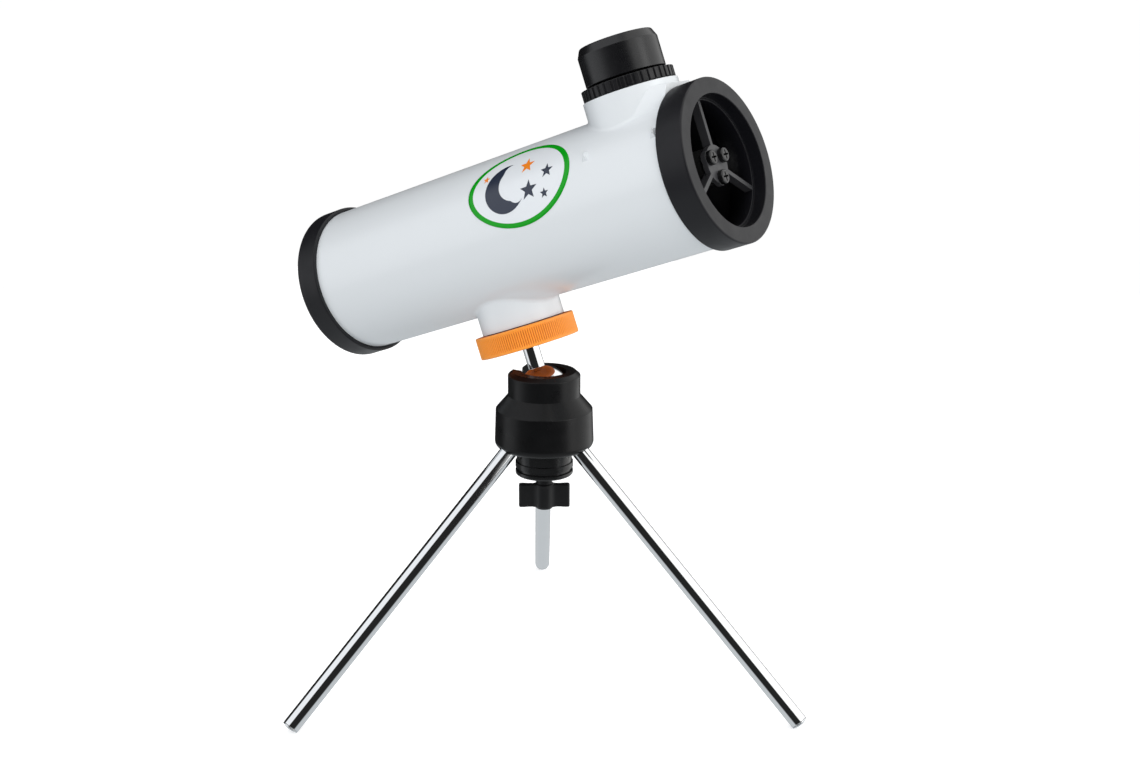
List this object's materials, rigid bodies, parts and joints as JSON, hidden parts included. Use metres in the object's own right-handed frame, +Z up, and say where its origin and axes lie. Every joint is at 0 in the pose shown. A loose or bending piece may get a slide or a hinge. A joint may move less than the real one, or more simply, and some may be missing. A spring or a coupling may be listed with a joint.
{
  "type": "tabletop telescope on tripod",
  "caption": "Short white reflector telescope with a side eyepiece on a folding mini tripod with a ball head.",
  "frame": {"origin": "on the floor, on the axis of the tripod's head", "axes": "+Z up along the head's axis; one leg points to +Y, and the eyepiece side of the tube faces up"},
  "size_m": [0.207, 0.1914, 0.2712],
  "materials": {
    "head_black": "satin",
    "hub_black": "gloss",
    "steel": "satin",
    "black_screw": "gloss",
    "cup_black": "matte",
    "knob_black": "satin",
    "nylon": "matte",
    "chrome": "polished",
    "pad_rubber": "matte",
    "ring_orange": "satin",
    "tube_white": "gloss",
    "brass": "satin",
    "label": "gloss",
    "front_black": "satin",
    "spider_grey": "satin",
    "inner_black": "matte",
    "mirror": "polished",
    "cap_black": "satin",
    "focus_black": "satin",
    "eyecup_black": "satin",
    "lens_glass": "polished"
  },
  "bodies": {
    "tripod_head": {"bell_housing": "head_black", "leg_hub": "hub_black", "leg_pins": "steel", "hub_screws": "black_screw"},
    "leg_1": {"leg_rod_1": "chrome", "leg_tip_1": "chrome"},
    "leg_2": {"leg_rod_2": "chrome", "leg_tip_2": "chrome"},
    "leg_3": {"leg_rod_3": "chrome", "leg_tip_3": "chrome"},
    "clamp_cup": {"pressure_cup": "cup_black"},
    "wing_screw": {"clamp_screw": "steel", "wing_knob": "knob_black"},
    "liner": {"ball_liner": "nylon"},
    "ball_and_stud": {"ball": "chrome", "stud": "chrome"},
    "ring_pad": {"grip_pad": "pad_rubber"},
    "lock_wheel": {"lock_ring": "ring_orange"},
    "telescope": {"optical_tube": "tube_white", "mount_insert": "brass", "side_label": "label", "front_ring": "front_black", "spider": "spider_grey", "secondary_screws": "black_screw", "secondary_holder": "inner_black", "secondary_mirror": "mirror", "rear_cap": "cap_black", "mirror_cell": "inner_black", "primary_mirror": "mirror", "mirror_retainer": "inner_black", "cell_screws": "black_screw"},
    "focus_wheel": {"focus_ring": "focus_black"},
    "eyepiece": {"focuser_drawtube": "inner_black", "eyepiece_barrel": "inner_black", "eyecup": "eyecup_black", "field_lens": "lens_glass", "eye_lens": "lens_glass", "lens_spacer": "inner_black"}
  },
  "joints": [
    {"name": "leg_1_fold", "type": "hinge", "parent": "tripod_head", "child": "leg_1", "pos_m": [0, 0.013, 0.104], "axis": [-1, 0, 0], "range_deg": [0, 29.5]},
    {"name": "leg_2_fold", "type": "hinge", "parent": "tripod_head", "child": "leg_2", "pos_m": [-0.01126, -0.0065, 0.104], "axis": [0.5, -0.866, 0], "range_deg": [0, 29.5]},
    {"name": "leg_3_fold", "type": "hinge", "parent": "tripod_head", "child": "leg_3", "pos_m": [0.01126, -0.0065, 0.104], "axis": [0.5, 0.866, 0], "range_deg": [0, 29.5]},
    {"name": "cup_travel", "type": "slide", "parent": "tripod_head", "child": "clamp_cup", "axis": [0, 0, 1], "range_m": [-0.001, 0]},
    {"name": "clamp_turn", "type": "hinge", "parent": "clamp_cup", "child": "wing_screw", "pos_m": [0, 0, 0.08], "axis": [0, 0, 1], "range_deg": [-360, 0]},
    {"name": "ball_cross_tilt", "type": "hinge", "parent": "tripod_head", "child": "liner", "pos_m": [0, 0, 0.1234], "axis": [-0.8295, 0.5585, 0], "range_deg": [-8, 8]},
    {"name": "ball_tilt", "type": "hinge", "parent": "liner", "child": "ball_and_stud", "pos_m": [0, 0, 0.1234], "axis": [-0.5585, -0.8295, 0], "range_deg": [-48, 59]},
    {"name": "pad_travel", "type": "slide", "parent": "ball_and_stud", "child": "ring_pad", "axis": [-0.2891, 0.1947, 0.9373], "range_m": [-0.000635, 0]},
    {"name": "lock_ring_turn", "type": "hinge", "parent": "ring_pad", "child": "lock_wheel", "pos_m": [-0.00694, 0.00467, 0.14589], "axis": [-0.2891, 0.1947, 0.9373], "range_deg": [-180, 0]},
    {"name": "telescope_spin", "type": "hinge", "parent": "ball_and_stud", "child": "telescope", "pos_m": [-0.00867, 0.00584, 0.15152], "axis": [-0.2891, 0.1947, 0.9373], "continuous": true},
    {"name": "focus_turn", "type": "hinge", "parent": "telescope", "child": "focus_wheel", "pos_m": [0.03206, -0.02158, 0.249], "axis": [-0.2891, 0.1947, 0.9373], "range_deg": [0, 240]},
    {"name": "focus_travel", "type": "slide", "parent": "telescope", "child": "eyepiece", "axis": [-0.2891, 0.1947, 0.9373], "range_m": [0, 0.008]}
  ],
  "couplings": [
    {"joint": "clamp_turn", "follows": "cup_travel", "rad_per_m": 6283.2},
    {"joint": "lock_ring_turn", "follows": "pad_travel", "rad_per_m": 4947.4},
    {"joint": "focus_turn", "follows": "focus_travel", "rad_per_m": 523.6}
  ]
}
